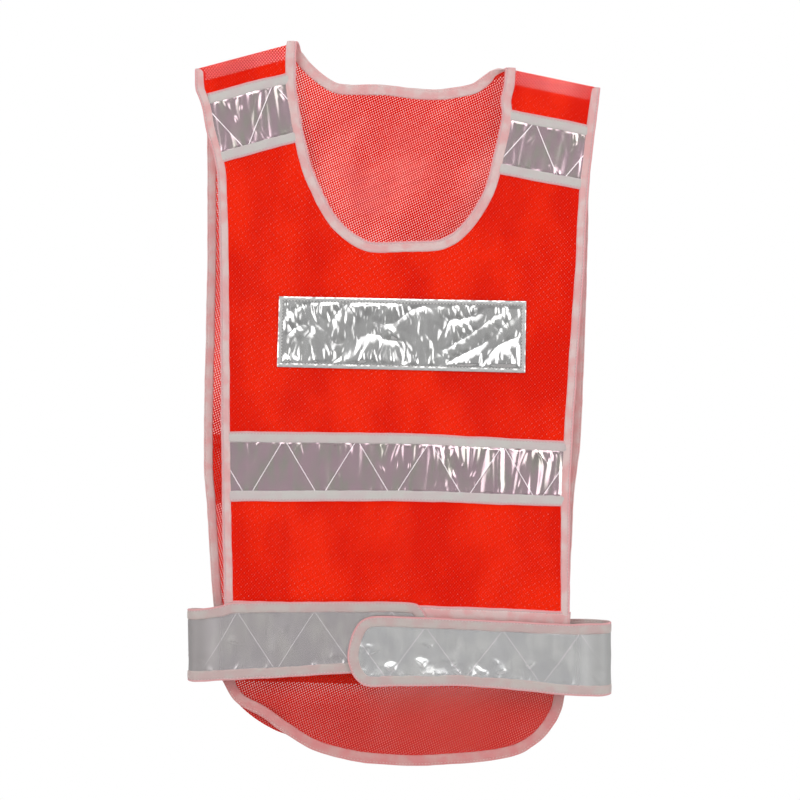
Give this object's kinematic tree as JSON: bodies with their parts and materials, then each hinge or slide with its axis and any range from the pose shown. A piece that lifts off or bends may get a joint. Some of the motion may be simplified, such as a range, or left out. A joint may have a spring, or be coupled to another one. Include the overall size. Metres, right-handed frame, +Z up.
{
  "type": "high visibility vest",
  "caption": "Open-sided mesh tabard with bound edges, reflective bands and chest patch, and a wrap-round reflective belt that closes at the front.",
  "frame": {"origin": "midway between the two shoulder folds, in the plane midway between the front and back panels", "axes": "+Z up the wearer's body, -Y out of the wearer's chest, +X to the right of someone facing the front"},
  "size_m": [0.3923, 0.0226, 0.6742],
  "materials": {
    "mesh": "open warp-knit polyester mesh, fluorescent orange-red",
    "binding": "matt white knitted binding tape",
    "film": "clear glossy vinyl over silver prismatic film",
    "belt_film": "clear soft vinyl over silver prismatic film",
    "closure_pad": "white hook-and-loop tape",
    "thread": "white sewing thread"
  },
  "bodies": {
    "back": {"back_hem_binding": "binding", "back_left_side_binding": "binding", "back_neck_binding": "binding", "back_panel": "mesh", "back_right_side_binding": "binding", "back_waist_film": "film", "back_waist_lower_binding": "binding", "back_waist_upper_binding": "binding", "belt_anchor_tack_left": "thread", "belt_anchor_tack_right": "thread", "belt_back_film": "belt_film", "belt_back_lower_binding": "binding", "belt_back_upper_binding": "binding", "belt_left_fold_film": "belt_film", "belt_left_fold_lower_binding": "binding", "belt_left_fold_upper_binding": "binding", "belt_right_fold_film": "belt_film", "belt_right_fold_lower_binding": "binding", "belt_right_fold_upper_binding": "binding", "left_shoulder_arm_binding": "binding", "left_shoulder_neck_binding": "binding", "left_shoulder_yoke": "mesh", "right_shoulder_arm_binding": "binding", "right_shoulder_neck_binding": "binding", "right_shoulder_yoke": "mesh"},
    "front": {"chest_patch": "film", "front_hem_binding": "binding", "front_left_side_binding": "binding", "front_neck_binding": "binding", "front_panel": "mesh", "front_right_side_binding": "binding", "front_waist_film": "film", "front_waist_lower_binding": "binding", "front_waist_upper_binding": "binding", "left_shoulder_band_film": "film", "left_shoulder_band_lower_binding": "binding", "left_shoulder_band_upper_binding": "binding", "right_shoulder_band_film": "film", "right_shoulder_band_lower_binding": "binding", "right_shoulder_band_upper_binding": "binding"},
    "belt_left": {"belt_left_binding": "binding", "belt_left_film": "belt_film", "belt_loop_pad": "closure_pad"},
    "belt_right": {"belt_hook_pad": "closure_pad", "belt_right_binding": "binding", "belt_right_film": "belt_film"}
  },
  "joints": [
    {"name": "front_lift", "type": "hinge", "parent": "back", "child": "front", "pos_m": [0, -0.003, -0.017], "axis": [-0.9973, 0, 0.0737], "range_deg": [0, 165], "deforming": ["left_shoulder_arm_binding", "left_shoulder_neck_binding", "left_shoulder_yoke", "right_shoulder_arm_binding", "right_shoulder_neck_binding", "right_shoulder_yoke"]},
    {"name": "belt_right_open", "type": "hinge", "parent": "back", "child": "belt_right", "pos_m": [0.184, -0.00185, -0.558], "axis": [0, 0, 1], "range_deg": [0, 165], "deforming": ["belt_right_fold_film", "belt_right_fold_lower_binding", "belt_right_fold_upper_binding"]},
    {"name": "belt_left_open", "type": "hinge", "parent": "back", "child": "belt_left", "pos_m": [-0.188, 0, -0.5475], "axis": [0, 0, -1], "range_deg": [0, 108], "deforming": ["belt_left_fold_film", "belt_left_fold_lower_binding", "belt_left_fold_upper_binding"]}
  ],
  "couplings": [
    {"joint": "belt_left_open", "follows": "belt_right_open", "ratio": 0.65}
  ]
}
